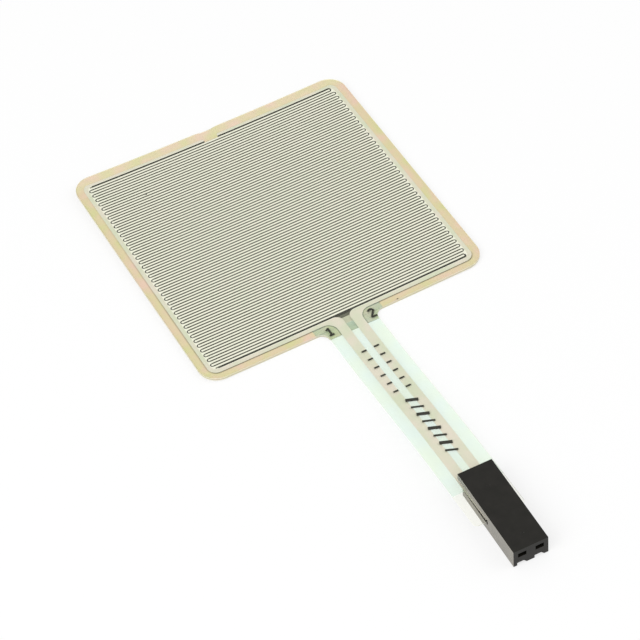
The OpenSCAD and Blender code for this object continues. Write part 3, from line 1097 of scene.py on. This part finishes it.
@dataclass
class PadLayers:
    """Films and prints of the pad: the frame's own solids, laid on the pad's curl.

    Attributes:
        curl: Curl of the pad.
        grid: Spacing of the cuts that let a long straight face follow the curl.
    """

    curl: Curl
    grid: float = 2.5

    def lay(
        self,
        frame: dict[str, Any],
        layer: Layer,
        name: str,
        slot: str,
        material: bpy.types.Material,
    ) -> None:
        """Copy a node's solid, cut it on the grid and raise it by the curl.

        Args:
            layer: Layer whose node is copied.
            name: Name of the new piece.
            slot: Record's material slot; not used.
            material: Material of the piece.
        """
        shape = bmesh.new()
        shape.from_mesh(frame["nodes"][layer.value].data)
        bmesh.ops.remove_doubles(shape, verts=shape.verts, dist=MERGE * MM)
        steps = np.arange(-self.curl.half + self.grid, self.curl.half, self.grid)
        for normal in ((1, 0, 0), (0, 1, 0)):
            for step in steps:
                bmesh.ops.bisect_plane(
                    shape,
                    geom=shape.verts[:] + shape.edges[:] + shape.faces[:],
                    dist=MERGE * MM,
                    plane_co=Vector(normal) * float(step) * MM,
                    plane_no=normal,
                )
        mesh = bpy.data.meshes.new(name)
        shape.to_mesh(mesh)
        shape.free()
        points = np.empty(3 * len(mesh.vertices))
        mesh.vertices.foreach_get("co", points)
        points = points.reshape(-1, 3)
        points[:, 2] += self.curl.lift(points[:, 0] / MM, points[:, 1] / MM) * MM
        mesh.vertices.foreach_set("co", points.ravel())
        mesh.update()
        mesh.materials.clear()
        mesh.materials.append(material)
        piece = link_object(name, mesh)
        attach(piece, "root")
        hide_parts(layer.value)
        LOG.info("%s: %d faces, %s", name, len(mesh.polygons), material.name)

    def build(self, frame: dict[str, Any]) -> None:
        """Lay every layer below the front film.
        """
        silver = SILVER_INK.material()
        for layer, name, slot, material in (
            (Layer.LINER, "liner_sheet", "release_liner", LINER_PAPER.material()),
            (Layer.ADHESIVE, "adhesive_sheet", "mounting_adhesive", MOUNTING_ADHESIVE.material()),
            (Layer.REAR_FILM, "rear_film_sheet", "rear_film", REAR_POLYESTER.material()),
            (Layer.CARBON, "carbon_print", "carbon_layer", CARBON_INK.material()),
            (Layer.SPACER, "spacer_ring", "spacer", SPACER_ADHESIVE.material()),
            (Layer.LEFT_COMB, "left_silver_comb", "silver_print", silver),
            (Layer.RIGHT_COMB, "right_silver_comb", "silver_print", silver),
        ):
            self.lay(frame, layer, name, slot, material)


def dress_contacts(frame: dict[str, Any]) -> None:
    """Give the two contacts, which stay as the frame has them, their material.
    """
    bronze = PLATED_BRONZE.material()
    for layer in (Layer.LEFT_CONTACT, Layer.RIGHT_CONTACT):
        for place in frame["nodes"][layer.value].material_slots:
            place.material = bronze
        LOG.info("%s: %s", layer.value, bronze.name)


def seen_rays(tree: Tree) -> Socket:
    """Tell the rays that see a white studio from those that light the object.

    Args:
        tree: Node tree that gets the nodes.

    Returns:
        Socket with 1 for camera, glossy and transmission rays, else 0.
    """
    rays = add_node(tree, "ShaderNodeLightPath").outputs
    direct = calc(tree, "MAXIMUM", rays["Is Camera Ray"], rays["Is Glossy Ray"])
    return calc(tree, "MAXIMUM", direct, rays["Is Transmission Ray"])


@dataclass
class Studio:
    """White sweep, soft lamps and the camera.

    Attributes:
        aim: Point in millimetres that the camera looks at.
        azimuth: Camera's turn round the object in degrees.
        elevation: Camera's height above the horizon in degrees.
        roll: Camera's turn about its own axis in degrees.
        distance: Camera's distance from the point in millimetres.
        focal_px: Focal length in pixels of the image.
        image_px: Side of the image in pixels.
        sensor_mm: Side of the camera's sensor.
        floor_half: Half the floor's side in metres.
        floor_drop: Depth of the floor below the object in millimetres.
        floor_glow: Share of plain white in the floor as the camera sees it.
        around: Strength of the light from all round.
        backdrop: Strength of the white behind the object.
    """

    aim: tuple[float, float, float] = (-3.18, -19.111, 0.0)
    azimuth: float = -24.599
    elevation: float = 48.376
    roll: float = -5.341
    distance: float = 394.02
    focal_px: float = 2874.182
    image_px: float = 640.0
    sensor_mm: float = 36.0
    floor_half: float = 3.0
    floor_drop: float = 0.02
    floor_glow: float = 0.72
    around: float = 0.62
    backdrop: float = 1.0

    def camera(self) -> None:
        """Place the camera: it stands at aim + distance * back and is rolled about its view."""
        a, e, r = (math.radians(v) for v in (self.azimuth, self.elevation, self.roll))
        back = Vector((math.sin(a) * math.cos(e), -math.cos(a) * math.cos(e), math.sin(e)))
        right = Vector((math.cos(a), math.sin(a), 0))
        up = back.cross(right)
        across = math.cos(r) * right + math.sin(r) * up
        upward = -math.sin(r) * right + math.cos(r) * up
        data = bpy.data.cameras.new("camera")
        data.sensor_width = self.sensor_mm
        data.lens = self.focal_px * self.sensor_mm / self.image_px
        data.clip_start, data.clip_end = 0.01, 10.0
        eye = link_object("camera", data)
        place = (Vector(self.aim) + self.distance * back) * MM
        turn = Matrix((across, upward, back)).transposed()
        eye.matrix_world = Matrix.Translation(place) @ turn.to_4x4()
        bpy.context.scene.camera = eye

    def floor(self) -> None:
        """Lay a wide pale floor that looks nearly white to the camera and keeps shadows."""
        material, tree = empty_material("pale_floor")
        seen = seen_rays(tree)
        diffuse = add_node(tree, "ShaderNodeBsdfDiffuse", {"Color": linear("#f4f4f4")})
        plain = diffuse.outputs["BSDF"]
        light = {"Color": linear("#ffffff"), "Strength": seen}
        glow = add_node(tree, "ShaderNodeEmission", light).outputs["Emission"]
        lit = mix_shaders(tree, self.floor_glow, plain, glow)
        shown = mix_shaders(tree, seen, plain, lit)
        add_node(tree, "ShaderNodeOutputMaterial", {"Surface": shown})
        half, z = self.floor_half, -self.floor_drop * MM
        corners = [(-half, -half, z), (half, -half, z), (half, half, z), (-half, half, z)]
        mesh = bpy.data.meshes.new("studio_floor")
        mesh.from_pydata(corners, [], [(0, 1, 2, 3)])
        mesh.materials.append(material)
        ground = link_object("studio_floor", mesh)

    def world(self) -> None:
        """Light all round softly, and show white behind the object."""
        world = bpy.data.worlds.new("soft_box")
        bpy.context.scene.world = world
        world.use_nodes = True
        tree = world.node_tree
        tree.nodes.clear()
        white = linear("#ffffff")
        lights = [
            add_node(tree, "ShaderNodeBackground", {"Color": white, "Strength": power}).outputs[0]
            for power in (self.around, self.backdrop)
        ]
        shown = mix_shaders(tree, seen_rays(tree), *lights)
        add_node(tree, "ShaderNodeOutputWorld", {"Surface": shown})

    def lamp(self, name: str, place: tuple[float, float, float], size: float, power: float) -> None:
        """Add a square soft lamp that points at the object.

        Args:
            name: Lamp's name.
            place: Its place in metres.
            size: Its side in metres.
            power: Its power in watts.
        """
        data = bpy.data.lights.new(name, "AREA")
        data.shape = "SQUARE"
        data.size = size
        data.energy = power
        light = link_object(name, data)
        light.location = place
        toward = Vector(self.aim) * MM - Vector(place)
        light.rotation_mode = "QUATERNION"
        light.rotation_quaternion = toward.to_track_quat("-Z", "Y")

    def build(self) -> None:
        """Build the whole studio."""
        self.camera()
        self.floor()
        self.world()
        self.lamp("left_window", (-0.7, -0.25, 0.65), size=0.7, power=5.5)
        self.lamp("right_fill", (0.8, -0.35, 0.6), size=0.9, power=3.5)
        bpy.context.scene.view_settings.view_transform = "Standard"


def printed_marks(course: TailLine) -> Marks:
    """Lay out the plain marks of the tail.

    Args:
        course: Course of the films.

    Returns:
        The marks, ready to build.
    """
    marks = Marks(course)
    marks.digits((-3.22, -22.0), (3.38, -22.05), height=1.4, width=0.3)
    marks.stroke(7.52, -21.68, 7.7, -21.68, 0.14)
    marks.stroke(-13.28, 14.5, -13.12, 14.5, 0.16)
    dash_rows, dash_x, dash_l, dash_w, dash_y, dash_step = 6, 0.95, 0.76, 0.27, -27.6, 1.75
    for row in range(dash_rows):
        y = dash_y - row * dash_step
        for x in (-dash_x, dash_x):
            marks.stroke(x - dash_l / 2, y, x + dash_l / 2, y, dash_w)
    bars, bar_y, bar_step, bar_rise, thin, thick = 8, -38.9, 1.5, 0.35, 0.34, 0.55
    left, right = -0.75, 0.85
    for bar in range(bars):
        y = bar_y - bar * bar_step
        marks.stroke(left, y + bar_rise, right, y - bar_rise, thin if bar % 2 else thick)
    return marks


def main() -> None:
    """Build the dressed sensor and its studio."""
    logging.basicConfig(level=logging.INFO, format="%(name)s: %(message)s")
    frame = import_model()
    course = TailLine()
    PadLayers(course.curl).build(frame)
    film = FrontFilm(course)
    film.build()
    CoverCoat(course, film).build()
    printed_marks(course).build()
    dress_contacts(frame)
    Housing().build(frame)
    Studio().build()


if __name__ == "__main__":
    main()
